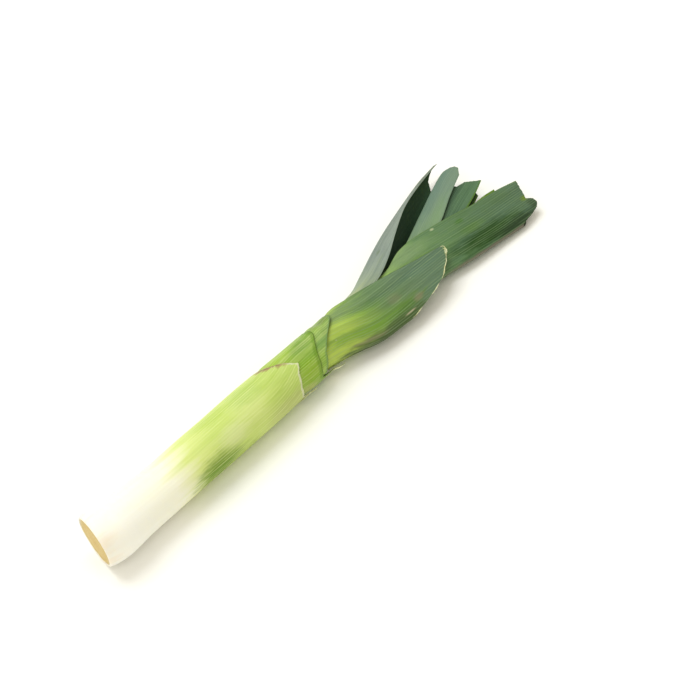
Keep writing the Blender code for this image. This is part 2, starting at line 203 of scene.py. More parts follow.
def shred(name, path, half_width, material, node, half_thickness=0.14):
    """A thin torn strip: a flat oval section carried along a smooth path, narrowing to both its ends."""
    steps = np.linspace(0.0, len(path) - 1.0, 10 * len(path))
    line = along_table([(i, *point) for i, point in enumerate(path)], steps)
    tangent = np.gradient(line, axis=0)
    tangent /= np.linalg.norm(tangent, axis=-1, keepdims=True)
    left = np.cross((0.0, 0.0, 1.0), tangent)
    left /= np.linalg.norm(left, axis=-1, keepdims=True)
    upward = np.cross(tangent, left)
    taper = np.sin(np.pi * np.clip(steps / steps[-1], 0.03, 0.97)) ** 0.5
    taper = taper * (1.0 + 0.35 * uneven(steps * 1.7, 0.0 * steps, len(path) + 40))
    turn = np.arange(8) * np.pi / 4.0
    section = (np.sin(turn)[:, None] * half_width * left[:, None]
               + np.cos(turn)[:, None] * half_thickness * upward[:, None])
    rings = line[:, None] + section * taper[:, None, None]
    return ring_body(name, rings, line[0], line[-1], {"along": line[:, :1]}, material, node)


LIGHT = 1.16  # colours are divided by this, because the lights are a little stronger than full white


def display(colour):
    """A red, green and blue of 0 to 255, as seen under the scene's light, as a shader's linear colour."""
    share = np.array(colour) / 255.0
    linear = np.where(share <= 0.04045, share / 12.92, ((share + 0.055) / 1.055) ** 2.4)
    return (*(linear / LIGHT).tolist(), 1.0)


def add_node(tree, kind, inputs=(), **settings):
    """A shader node with these settings; an input is linked where its value is another node's output."""
    made = tree.nodes.new(kind)
    for setting, value in settings.items():
        setattr(made, setting, value)
    for key, value in dict(inputs).items():
        if isinstance(value, bpy.types.NodeSocket):
            tree.links.new(value, made.inputs[key])
        else:
            made.inputs[key].default_value = value
    return made


def maths(tree, operation, *values, clamp=False):
    """The output of one Math node."""
    made = add_node(tree, "ShaderNodeMath", enumerate(values), operation=operation, use_clamp=clamp)
    return made.outputs[0]


def times(tree, value, factor):
    """The product of two numbers."""
    return maths(tree, "MULTIPLY", value, factor)


def vector(tree, x, y, z=0.0):
    """A vector from its three numbers."""
    return add_node(tree, "ShaderNodeCombineXYZ", {0: x, 1: y, 2: z}).outputs[0]


def noise(tree, place, scale, detail, roughness=0.5):
    """Smooth noise from 0 to 1."""
    inputs = {"Vector": place, "Scale": scale, "Detail": detail, "Roughness": roughness}
    return add_node(tree, "ShaderNodeTexNoise", inputs).outputs["Fac"]


def between(tree, value, low, high):
    """A smooth mask: 0 where the value is at low and 1 where it is at high."""
    made = add_node(tree, "ShaderNodeMapRange", {"Value": value, "From Min": low, "From Max": high},
                    interpolation_type="SMOOTHSTEP")
    return made.outputs["Result"]


def mixed(tree, share, under, over):
    """Under where the share is 0 and over where it is 1; a colour of three numbers goes through display()."""
    made = add_node(tree, "ShaderNodeMix", data_type="RGBA", blend_type="MIX")
    for socket, value in zip((made.inputs[0], made.inputs[6], made.inputs[7]), (share, under, over)):
        if isinstance(value, bpy.types.NodeSocket):
            tree.links.new(value, socket)
        elif isinstance(value, tuple) and len(value) == 3:
            socket.default_value = display(value)
        else:
            socket.default_value = value
    return made.outputs[2]


def field_value(tree, name):
    """The number that the mesh keeps for each point under this name."""
    return add_node(tree, "ShaderNodeAttribute", attribute_name=name).outputs["Fac"]


def colours_along(tree, place, stops):
    """A colour ramp over the place, which runs from the first stop's to the last stop's."""
    low, high = stops[0][0], stops[-1][0]
    share = add_node(tree, "ShaderNodeMapRange", {"Value": place, "From Min": low, "From Max": high})
    ramp = add_node(tree, "ShaderNodeValToRGB", {"Fac": share.outputs[0]})
    elements = ramp.color_ramp.elements
    elements[0].color = display(stops[0][1])
    elements[1].color = display(stops[-1][1])
    for at, colour in stops[1:-1]:
        elements.new((at - low) / (high - low)).color = display(colour)
    return ramp.outputs["Color"]


def shader_group(name, inputs, outputs):
    """An empty shader node group with these number sockets; returns its tree, its inputs and its end."""
    tree = bpy.data.node_groups.new(name, "ShaderNodeTree")
    for title, value in inputs:
        socket = tree.interface.new_socket(title, in_out="INPUT", socket_type="NodeSocketFloat")
        socket.default_value = value
    for title in outputs:
        tree.interface.new_socket(title, in_out="OUTPUT", socket_type="NodeSocketFloat")
    start = tree.nodes.new("NodeGroupInput")
    end = tree.nodes.new("NodeGroupOutput")
    return tree, start.outputs, end.inputs


def put_group(tree, group, **values):
    """The outputs of a group placed in a tree; underscores in the names of its inputs stand for spaces."""
    made = add_node(tree, "ShaderNodeGroup", node_tree=group)
    for title, value in values.items():
        socket = made.inputs[title.replace("_", " ")]
        if isinstance(value, bpy.types.NodeSocket):
            tree.links.new(value, socket)
        else:
            socket.default_value = value
    return made.outputs


def make_fibres():
    """Long fibres of leaf tissue: noise in (along, across) stretched along, in two fineness steps.

    Streak is a soft light-and-dark mask for colour and Rib the fine ridges for a bump. Vein is thin lines one
    spacing apart, each of its own strength and broken along its length.
    """
    inputs = [("Along", 0.0), ("Across", 0.0), ("Spacing", 1.5), ("Length", 90.0), ("Seed", 0.0)]
    tree, given, out = shader_group("Leaf fibres", inputs, ["Streak", "Rib", "Vein"])
    across = maths(tree, "DIVIDE", given["Across"], given["Spacing"])
    along = maths(tree, "DIVIDE", given["Along"], given["Length"])
    place = vector(tree, across, along, given["Seed"])
    tree.links.new(between(tree, noise(tree, place, 0.45, 3.0, 0.6), 0.36, 0.66), out["Streak"])
    tree.links.new(noise(tree, place, 1.0, 2.0), out["Rib"])
    drift_place = vector(tree, times(tree, across, 0.12), times(tree, along, 0.7), given["Seed"])
    drift = noise(tree, drift_place, 1.0, 1.0)
    phase = maths(tree, "ADD", across, times(tree, drift, 1.5))
    line = between(tree, maths(tree, "PINGPONG", phase, 0.5), 0.30, 0.06)
    which = maths(tree, "ROUND", phase)
    strength = add_node(tree, "ShaderNodeTexWhiteNoise", {"W": which}, noise_dimensions="1D").outputs["Value"]
    break_place = vector(tree, times(tree, which, 3.7), times(tree, along, 4.0), given["Seed"])
    broken = noise(tree, break_place, 1.0, 1.0)
    strength = maths(tree, "MULTIPLY_ADD", strength, 0.65, 0.35)
    shown = times(tree, between(tree, broken, 0.30, 0.58), strength)
    tree.links.new(times(tree, line, shown), out["Vein"])
    return tree


def make_blotch():
    """A soft-edged patch on a leaf: 1 inside an ellipse of along and across, its edge broken by noise."""
    inputs = [("Along", 0.0), ("Across", 0.0), ("Middle Along", 0.0), ("Middle Across", 0.0),
              ("Half Length", 10.0), ("Half Width", 5.0), ("Softness", 0.6)]
    tree, given, out = shader_group("Leaf blotch", inputs, ["Mask"])
    along = maths(tree, "SUBTRACT", given["Along"], given["Middle Along"])
    across = maths(tree, "SUBTRACT", given["Across"], given["Middle Across"])
    u = maths(tree, "DIVIDE", along, given["Half Length"])
    v = maths(tree, "DIVIDE", across, given["Half Width"])
    far = maths(tree, "SQRT", maths(tree, "ADD", times(tree, u, u), times(tree, v, v)))
    ragged_place = vector(tree, times(tree, given["Across"], 0.5), times(tree, given["Along"], 0.08))
    ragged = noise(tree, ragged_place, 1.0, 3.0)
    far = maths(tree, "ADD", far, times(tree, maths(tree, "SUBTRACT", ragged, 0.5), 1.3))
    low = maths(tree, "ADD", 1.0, given["Softness"])
    high = maths(tree, "SUBTRACT", 1.0, given["Softness"])
    tree.links.new(between(tree, far, low, high), out["Mask"])
    return tree


def make_specks():
    """Small scattered marks: cells of the given size, a share of which has a dot stretched along the leaf."""
    inputs = [("Along", 0.0), ("Across", 0.0), ("Size", 6.0), ("Amount", 0.2), ("Seed", 0.0)]
    tree, given, out = shader_group("Leaf specks", inputs, ["Mask"])
    across = maths(tree, "DIVIDE", given["Across"], given["Size"])
    along = maths(tree, "DIVIDE", times(tree, given["Along"], 0.5), given["Size"])
    place = vector(tree, across, along, given["Seed"])
    cells = add_node(tree, "ShaderNodeTexVoronoi", {"Vector": place, "Scale": 1.0})
    dot = between(tree, cells.outputs["Distance"], 0.14, 0.08)
    tone = add_node(tree, "ShaderNodeSeparateColor", {"Color": cells.outputs["Color"]}).outputs[0]
    chosen = maths(tree, "LESS_THAN", tone, given["Amount"])
    tree.links.new(times(tree, dot, chosen), out["Mask"])
    return tree


FIBRES = make_fibres()
BLOTCH = make_blotch()
SPECKS = make_specks()


def tissue(name, roughness, subsurface):
    """A material for living leaf tissue; returns it with its tree and its Principled shader.

    The light that passes a little way into it is set on the shader's own sockets.
    """
    material = bpy.data.materials.new(name)
    material.use_nodes = True
    tree = material.node_tree
    shader = tree.nodes["Principled BSDF"]
    shader.inputs["Roughness"].default_value = roughness
    shader.inputs["Subsurface Weight"].default_value = subsurface
    shader.inputs["Subsurface Radius"].default_value = (1.0, 0.9, 0.5)
    shader.inputs["Subsurface Scale"].default_value = 0.002
    shader.inputs["Specular IOR Level"].default_value = 0.18
    return material, tree, shader


def raise_surface(tree, shader, height, distance):
    """Lets a height in millimetres, times the distance, tilt the shading of the surface."""
    bump = add_node(tree, "ShaderNodeBump", {"Height": height, "Distance": distance * MM, "Strength": 1.0})
    tree.links.new(bump.outputs["Normal"], shader.inputs["Normal"])


def blotched(tree, colour, along, across, blotches):
    """The colour under soft patches: each is (along, across, half length, half width, colour, share)."""
    for middle_along, middle_across, half_length, half_width, patch, share in blotches:
        mask = put_group(tree, BLOTCH, Along=along, Across=across, Middle_Along=middle_along,
                         Middle_Across=middle_across, Half_Length=half_length, Half_Width=half_width)["Mask"]
        colour = mixed(tree, times(tree, mask, share), colour, patch)
    return colour


def sheath_skin(name, stops, blotches, seed, dark_cut, stripe, vein_share, dry=(), tips=(),
                tint_by_turn=None):
    """The skin of a sheath: colours along x, fibres and patches, and the colours of its margin and cut
    edge.

    dark_cut and stripe are (colour, reach in mm, share) of the cut edge and of the band behind it. tips are
    patches over them. dry is (from, to, reach, colour) of withered skin, and tint_by_turn (middle, width,
    shift) moves the colours along x. Both measure round the sheath as the around field does.
    """
    material, tree, shader = tissue(name, 0.42, 0.15)
    along = field_value(tree, "along")
    across = field_value(tree, "across")
    around = field_value(tree, "around")
    to_cut = field_value(tree, "to_cut")
    fibres = put_group(tree, FIBRES, Along=along, Across=across, Spacing=1.8, Length=120.0, Seed=seed)
    broad = put_group(tree, FIBRES, Along=along, Across=across, Spacing=5.0, Length=200.0, Seed=seed + 4.0)
    # the green begins further along on some fibres than on others
    shift = times(tree, maths(tree, "SUBTRACT", broad["Streak"], 0.5), 16.0)
    place = maths(tree, "ADD", along, shift)
    if tint_by_turn:
        angle, width, amount = tint_by_turn
        turned = maths(tree, "DIVIDE", maths(tree, "SUBTRACT", around, angle), width)
        fall = maths(tree, "EXPONENT", times(tree, times(tree, turned, turned), -1.0))
        place = maths(tree, "ADD", place, times(tree, fall, amount))
    colour = colours_along(tree, place, stops)
    green = between(tree, along, 50.0, 110.0)
    colour = blotched(tree, colour, along, around, blotches)
    streak = times(tree, fibres["Streak"], times(tree, green, 0.22))
    colour = mixed(tree, streak, colour, (226, 240, 160))
    pale_line = times(tree, fibres["Vein"], times(tree, green, vein_share))
    colour = mixed(tree, pale_line, colour, (236, 246, 172))
    stripe_colour, stripe_reach, stripe_share = stripe
    edge_noise = times(tree, fibres["Rib"], stripe_reach)
    stripe_mask = between(tree, maths(tree, "SUBTRACT", to_cut, edge_noise), stripe_reach * 0.6, 0.0)
    colour = mixed(tree, times(tree, stripe_mask, stripe_share), colour, stripe_colour)
    cut_colour, cut_reach, cut_share = dark_cut
    line = between(tree, to_cut, cut_reach, 0.0)
    colour = mixed(tree, times(tree, line, cut_share), colour, cut_colour)
    colour = blotched(tree, colour, along, around, tips)
    for from_turn, to_turn, reach, skin_colour in dry:
        sector = times(tree, between(tree, around, from_turn, from_turn + 3.0),
                       between(tree, around, to_turn, to_turn - 3.0))
        ragged = times(tree, maths(tree, "SUBTRACT", fibres["Rib"], 0.5), reach * 2.4)
        withered = between(tree, maths(tree, "ADD", to_cut, ragged), reach, reach * 0.6)
        skin = times(tree, sector, withered)
        colour = mixed(tree, times(tree, skin, 0.8), colour, skin_colour)
    tree.links.new(colour, shader.inputs["Base Color"])
    rough = add_node(tree, "ShaderNodeMapRange", {"Value": fibres["Streak"], "To Min": 0.36, "To Max": 0.50})
    tree.links.new(rough.outputs[0], shader.inputs["Roughness"])
    raise_surface(tree, shader, fibres["Rib"], 0.16)
    return material


def root_cut_x(radius):
    """x of the slanting root cut at a distance from the axis, at every angle."""
    return ROOT_X + radius * (ROOT_SLANT_Y * np.sin(ANGLES) + ROOT_SLANT_Z * np.cos(ANGLES))


def outer_radius(x):
    """The shaft's radius, rounded to the cut end by a quarter of an ellipse, with unevenness and ribs."""
    short_of = np.clip(1.0 - (x - root_cut_x(RIM_RADIUS)) / ROUNDING_LENGTH, 0.0, 1.0)
    rounding = (shaft_radius(ROOT_X) - RIM_RADIUS) * (1.0 - np.sqrt(1.0 - short_of ** 2))
    waves = 0.18 * uneven(x / 55.0, np.sin(TURN) * 0.5, 11) * (1.0 - short_of)
    ribs = 0.05 * np.sin(TURN * 42.0 + 1.5 * uneven(x / 160.0, TURN * 0.3, 12))
    ribs = ribs * smooth_step((x - 20.0) / 60.0)
    return shaft_radius(x) - 0.12 * (1.0 - short_of) - rounding + waves + ribs


OUTER_X = mouth_x(OUTER_MOUTH) + 0.35 * frayed(np.degrees(TURN) / 1.4, 21)


def build_outer_sheath():
    """The shaft: rings from the plate's seat over the cut rim, along the outside to the collar, and back
    inside.

    The wall thins to a fifth of a millimetre over the last few millimetres before the torn collar.
    """
    far = 60.0  # the root's cut rim is nowhere near the collar, so it keeps clear of its edge colours
    seat = PLATE_RADIUS + GAP
    rim_x = root_cut_x(RIM_RADIUS)
    rings = []
    to_cut = []
    for radius, back in ((seat, 3.0), (seat, 0.15), (seat + 0.1, -0.05)):
        rings.append(ring(root_cut_x(radius) + back, radius))
        to_cut.append(far)
    for step in np.linspace(0.2, 1.0, 4):
        radius = seat + 0.1 + (RIM_RADIUS - seat - 0.1) * step
        rings.append(ring(root_cut_x(radius) + 0.06 * uneven(TURN * 1.2, step * 2.0, 13), radius))
        to_cut.append(far)
    shares = np.concatenate([[0.0008, 0.002, 0.004, 0.007, 0.011, 0.016], np.linspace(0.022, 1.0, 230)])
    for share in shares:
        x = rim_x + (OUTER_X - rim_x) * share
        rings.append(ring(x, outer_radius(x)))
        to_cut.append(OUTER_X - x)
    for share in np.linspace(0.0, 1.0, 16):
        x = OUTER_X + (SEAT_X - GAP - OUTER_X) * share
        thickness = 0.30 + (SHEATH_WALL - 0.30) * smooth_step((OUTER_X - x) / 8.0)
        rings.append(ring(x, outer_radius(x) - thickness))
        to_cut.append(OUTER_X - x)
    rings = np.array(rings)
    along = rings[..., 0]
    around = np.broadcast_to(np.degrees(TURN) * MM_PER_DEGREE, along.shape)
    # the fibres lean over as they near the collar
    lean = 9.0 * (np.clip(along - 155.0, 0.0, 50.0) / 45.0) ** 2
    fields = {"along": along, "around": around, "across": around - lean,
              "to_cut": np.array([np.broadcast_to(row, (AROUND,)) for row in to_cut])}
    stops = [(-18, (262, 252, 236)), (-6, (266, 264, 254)), (10, (266, 266, 258)),
             (56, (262, 262, 242)), (70, (250, 254, 206)), (84, (228, 242, 150)),
             (108, (208, 230, 124)), (150, (208, 229, 124)), (174, (188, 214, 104)),
             (202, (196, 220, 118))]
    # patches: (x, millimetres round from the top, half length, half width, colour, share)
    blotches = [(99, -27.5, 21, 10, (108, 148, 0), 1.0),
                (130, -33, 12, 6, (156, 186, 50), 0.7),
                (121, -14, 13, 6, (226, 238, 170), 0.75),
                (144, -4, 14, 12, (228, 240, 160), 0.6),
                (150, 3, 16, 8, (150, 192, 66), 0.5),
                (176, -27, 22, 7, (186, 192, 120), 0.6),
                (118, 6, 16, 5, (180, 210, 84), 0.5)]
    dry = [(-3.0, 15.0, 7.0, (176, 164, 104)), (0.0, 13.0, 4.0, (150, 118, 92))]
    skin = sheath_skin("Shaft skin", stops, blotches, 1.0, dark_cut=((206, 214, 150), 0.7, 0.8),
                       stripe=((234, 236, 206), 2.4, 0.75), vein_share=0.6, dry=dry,
                       tips=[(204, -37, 7, 3.5, (240, 242, 210), 0.8)], tint_by_turn=(12.0, 8.0, -6.0))
    return ring_body("outer_sheath_skin", rings, axis_point(ROOT_X + 3.0), axis_point(SEAT_X - GAP), fields,
                     skin, "outer_sheath")


build_outer_sheath()


def dry_skin():
    """Torn leaf skin that has dried pale: cream with straw-coloured and brownish stretches."""
    material, tree, shader = tissue("Dry torn skin", 0.6, 0.1)
    position = add_node(tree, "ShaderNodeTexCoord").outputs["Object"]
    clouds = noise(tree, position, 420.0, 3.0)
    colour = colours_along(tree, clouds, [(0.3, (196, 190, 140)), (0.5, (222, 226, 178)),
                                          (0.7, (236, 238, 204))])
    tree.links.new(colour, shader.inputs["Base Color"])
    return material


def on_shaft(x, degrees, lift):
    """The point at this x and turn, standing off the shaft's surface by the lift."""
    _, axis_y, axis_z = axis_point(x)
    radius = shaft_radius(x) + lift
    return (x, axis_y + radius * np.sin(np.radians(degrees)), axis_z + radius * np.cos(np.radians(degrees)))


DRY_SKIN = dry_skin()
# torn strips at the collar's low corner: each point is (x, degrees round from the top, height off the skin)
collar_shreds = (
    ((195.0, -113, 0.3), (199.0, -111, 0.9), (203.0, -109, 1.6), (207.0, -108, 2.0)),
    ((188.0, -122, 0.2), (194.0, -117, 0.7), (200.0, -112, 0.9)),
)
for number, strip in enumerate(collar_shreds):
    shred(f"collar_shred_{number}", [on_shaft(*place) for place in strip], 0.55, DRY_SKIN, "outer_sheath")


# --- Root plate: the stub of the stem that all the leaves grow from, cut clean across when the roots were
# trimmed. It is tan, dry and slightly fibrous, with a faint ring where the leaf bases meet it, sunk a
# little in the rim. ---------------------------------------------------------------------------------------

def root_plate_skin():
    """Dry cut tissue: tan, darker in a ring near its edge, with small pores and a rough matt surface."""
    material, tree, shader = tissue("Cut root plate", 0.75, 0.1)
    outward = field_value(tree, "outward")
    position = add_node(tree, "ShaderNodeTexCoord").outputs["Object"]
    pores = noise(tree, position, 900.0, 4.0)
    clouds = noise(tree, position, 160.0, 3.0)
    wander = times(tree, maths(tree, "SUBTRACT", clouds, 0.5), 0.35)
    colour = colours_along(tree, maths(tree, "ADD", outward, wander),
                           [(0, (228, 200, 132)), (0.5, (233, 210, 148)),
                            (0.82, (228, 202, 138)), (0.94, (233, 214, 160)),
                            (1, (246, 232, 200))])
    colour = mixed(tree, times(tree, between(tree, pores, 0.50, 0.72), 0.6), colour,
                   (208, 172, 104))
    tree.links.new(colour, shader.inputs["Base Color"])
    raise_surface(tree, shader, pores, 0.4)
    return material


def build_root_plate():
    """A disc whose face is a slanting plane with a shallow dish and small unevenness, and a rounded edge."""
    shares = np.concatenate([np.linspace(0.04, 0.94, 30), [0.97, 0.99, 1.0]])
    rings = []
    outward = []
    for share in shares:
        radius = PLATE_RADIUS * share
        lumps = 0.16 * uneven(share * 3.0 * np.cos(ANGLES), share * 3.0 * np.sin(ANGLES), 31)
        groove = 0.18 * hump(share, 0.82, 0.05)
        edge = 0.35 * smooth_step((share - 0.94) / 0.06) ** 2
        rings.append(ring(root_cut_x(radius) + 0.2 + lumps + groove + edge, radius))
        outward.append(np.full(AROUND, share))
    back = root_cut_x(PLATE_RADIUS)
    for depth in (1.6, 2.8):
        rings.append(ring(back + depth, PLATE_RADIUS))
        outward.append(np.full(AROUND, 1.0))
    return ring_body("root_plate_cut", rings, axis_point(ROOT_X + 0.2), axis_point(ROOT_X + 2.8),
                     {"outward": np.array(outward)}, root_plate_skin(), "root_plate")


build_root_plate()


# --- Second sheath: the next leaf's tube, yellow-green and waxy, seated in the outer one. Its blade was cut
# off at a slanting edge with a dark line and a crinkled green band beside it, and a pale pointed tip low on
# the right. -----------------------------------------------------------------------------------------------

SECOND_MOUTH = ((-150, 225), (-136, 228), (-128, 238), (-122, 244), (-117, 238), (-110, 227), (-104, 219),
                (-99, 215.5), (-78, 215), (-42, 217.6), (-26, 220.2), (-13, 223.2), (2, 227.5), (10, 229.6),
                (22, 230.6), (34, 230), (55, 228.5), (75, 226), (120, 222), (180, 222))
THIRD_SEAT_X = 196.0
SWELL_LENGTH = 13.0
TIP_X = 229.0  # from here on only the pointed tip is left, and it stands off the third sheath
TIP_LENGTH = 10.0
TIP_LIFT = 2.6
SECOND_X = mouth_x(SECOND_MOUTH) + 0.25 * frayed(np.degrees(TURN) / 1.6, 22)


def second_radius(x):
    """Inside the outer sheath up to its edge, then level with it, lifted a little at its own edge and tip."""
    inside = shaft_radius(x) - SHEATH_WALL - GAP - 0.15
    swell = (shaft_radius(x) - inside) * smooth_step((x - OUTER_X) / SWELL_LENGTH)
    swell = swell + TIP_LIFT * smooth_step((x - TIP_X) / TIP_LENGTH)
    crinkle = 0.14 * uneven(x / 7.0, TURN * 3.0, 14) * smooth_step((x - SECOND_X + 16.0) / 8.0)
    swell = swell + 1.1 * hump(TURN, 0.42, 0.35) * smooth_step((x - SECOND_X + 9.0) / 9.0)
    ribs = 0.05 * np.sin(TURN * 38.0 + 1.5 * uneven(x / 120.0, TURN * 0.3, 15))
    return inside + swell + crinkle * smooth_step((x - OUTER_X) / 6.0) + ribs


def build_sheath(name, node, seat_x, clear_x, edge_x, radius_at, cup_x, skin):
    """A plug seated at seat_x; its wall thins to a slanting edge round the cup that holds the next piece."""
    rings = [ring(np.full(AROUND, seat_x), radius_at(np.full(AROUND, seat_x)))]
    to_cut = [edge_x - seat_x]
    under = np.minimum(clear_x, edge_x) - 3.0
    for share in (0.05, 0.5, 1.0):
        x = seat_x + (under - seat_x) * share
        rings.append(ring(x, radius_at(x)))
        to_cut.append(edge_x - x)
    for share in np.linspace(0.0, 1.0, 90)[1:]:
        x = under + (edge_x - under) * share
        rings.append(ring(x, radius_at(x)))
        to_cut.append(edge_x - x)
    for share in np.linspace(0.0, 1.0, 24):
        x = edge_x + (cup_x - edge_x) * share
        thickness = 0.35 + (SHEATH_WALL - 0.35) * smooth_step((edge_x - x) / 6.0)
        rings.append(ring(x, radius_at(x) - thickness))
        to_cut.append(edge_x - x)
    rings = np.array(rings)
    along = rings[..., 0]
    around = np.broadcast_to(np.degrees(TURN) * MM_PER_DEGREE, along.shape)
    fields = {"along": along, "around": around, "across": around,
              "to_cut": np.array([np.broadcast_to(row, (AROUND,)) for row in to_cut])}
    return ring_body(name, rings, axis_point(seat_x), axis_point(cup_x), fields, skin, node)


second_skin = sheath_skin(
    "Second sheath skin",
    [(150, (190, 216, 96)), (184, (150, 186, 62)), (200, (136, 176, 52)),
     (214, (134, 174, 62)), (232, (116, 158, 62))],
    [(206, -20, 13, 8, (134, 176, 4), 0.95), (198, -30, 10, 5, (180, 186, 110), 0.7),
     (212, 3, 10, 5, (104, 144, 66), 0.6), (196, 9, 14, 5, (176, 208, 82), 0.6),
     (238, -37, 14, 6, (226, 232, 168), 1.0)],
    7.0, dark_cut=((60, 92, 14), 1.1, 0.8), stripe=((108, 148, 40), 4.4, 0.6), vein_share=0.3,
    tips=[(240, -37, 13, 5.5, (244, 248, 204), 1.0)])
build_sheath("second_sheath_skin", "second_sheath", SEAT_X, OUTER_X, SECOND_X, second_radius,
             THIRD_SEAT_X - GAP, second_skin)


# --- Third sheath: a narrower leaf's tube that shows only on the left, between the second sheath's edge and
# the short leaf. It is yellow-green with a blue-green band along its own cut edge, which stands a little
# open. ----------------------------------------------------------------------------------------------------

THIRD_MOUTH = ((-150, 225), (-119, 220), (-90, 221), (-45, 226), (-30, 231), (-16, 236.5), (1, 245),
               (12, 250), (20, 253), (32, 253.5), (40, 252), (75, 249), (120, 243), (180, 232))
CUP_DEPTH = 6.0
THIRD_X = mouth_x(THIRD_MOUTH) + 0.2 * frayed(np.degrees(TURN) / 1.8, 23)


def third_radius(x):
    """Inside the second sheath up to its edge, then level with the shaft, its own edge lifted a little."""
    inside = second_radius(x) - SHEATH_WALL - GAP - 0.05
    swell = (shaft_radius(x) - inside) * smooth_step((x - SECOND_X) / SWELL_LENGTH)
    lift = 1.2 * smooth_step((x - THIRD_X + 10.0) / 10.0) * hump(TURN, 0.5, 0.4)
    ribs = 0.05 * np.sin(TURN * 34.0 + 1.5 * uneven(x / 120.0, TURN * 0.3, 16))
    return inside + swell + lift + ribs


third_skin = sheath_skin(
    "Third sheath skin",
    [(190, (170, 204, 96)), (222, (142, 184, 64)), (238, (128, 166, 74)),
     (256, (104, 142, 74))],
    [(236, 5, 14, 3.2, (144, 182, 76), 0.7), (244, 9, 12, 3, (120, 142, 74), 0.7),
     (228, -7, 10, 4, (120, 158, 88), 0.7)],
    9.0, dark_cut=((64, 96, 40), 0.7, 0.7), stripe=((120, 154, 98), 2.4, 0.6), vein_share=0.25)
build_sheath("third_sheath_skin", "third_sheath", THIRD_SEAT_X, SECOND_X, THIRD_X, third_radius,
             THIRD_SEAT_X + CUP_DEPTH, third_skin)


# --- Short leaf: the blade that wraps the bundle from the right, cut short. It is ribbed along its length,
# yellow-green at its base and dull blue-green further on, with a pale torn end and a bright band along its
# fold. ----------------------------------------------------------------------------------------------------

LEAF_WALL = 0.9
LEAF_AXIS_Z = 17.0  # height of the line that the leaves are rolled round
ALONG_LEAF = 240
ACROSS_LEAF = 145


def station(x, keel, upper, lower, crease):
    """One row of a leaf's table.

    keel is the (y, z) of the fold. upper and lower are (y, z, bulge) of the two margins, where bulge is
    half the angle in degrees that the half turns through: 90 for half a tube, 0 for flat. crease is the
    fold's radius.
    """
    return (x, *keel, *upper, *lower, crease)


def tube(x, side, radius):
    """A station where the leaf is still rolled into a tube, its margins almost meeting."""
    opening = 0.9
    upper = (-side * radius, LEAF_AXIS_Z + opening, 87)
    lower = (-side * radius, LEAF_AXIS_Z - opening, 87)
    return station(x, (side * radius, LEAF_AXIS_Z), upper, lower, 0.9 * radius)


def half_section(keel_y, keel_z, margin_y, margin_z, bulge, crease, share):
    """Points from the keel to the margin: a quarter-turn crease, then one arc, at a share of their joint
    length.

    The leaf leaves the keel straight up, turns on the crease's radius to the arc's first heading, and then
    follows the arc that bulges by the given half angle over the chord to the margin.
    """
    bulge = np.radians(np.clip(bulge, 0.5, 89.0))
    heading = np.zeros_like(keel_y)
    for _ in range(12):
        from_y = keel_y + crease * (1.0 - np.sin(heading))
        from_z = keel_z + crease * np.cos(heading)
        heading = np.clip(np.arctan2(margin_z - from_z, margin_y - from_y) + bulge, -np.pi / 2, np.pi / 2)
    chord = np.hypot(margin_z - from_z, margin_y - from_y)
    curvature = 2.0 * np.sin(bulge) / chord
    crease_length = crease * (np.pi / 2 - heading)
    length = crease_length + chord * bulge / np.sin(bulge)
    travelled = share * length
    turned = np.minimum(travelled, crease_length) / crease
    on_arc = np.maximum(travelled - crease_length, 0.0) * curvature
    y = keel_y + crease * (1.0 - np.cos(turned)) + (np.sin(heading) - np.sin(heading - on_arc)) / curvature
    z = keel_z + crease * np.sin(turned) + (np.cos(heading - on_arc) - np.cos(heading)) / curvature
    return y, z, length


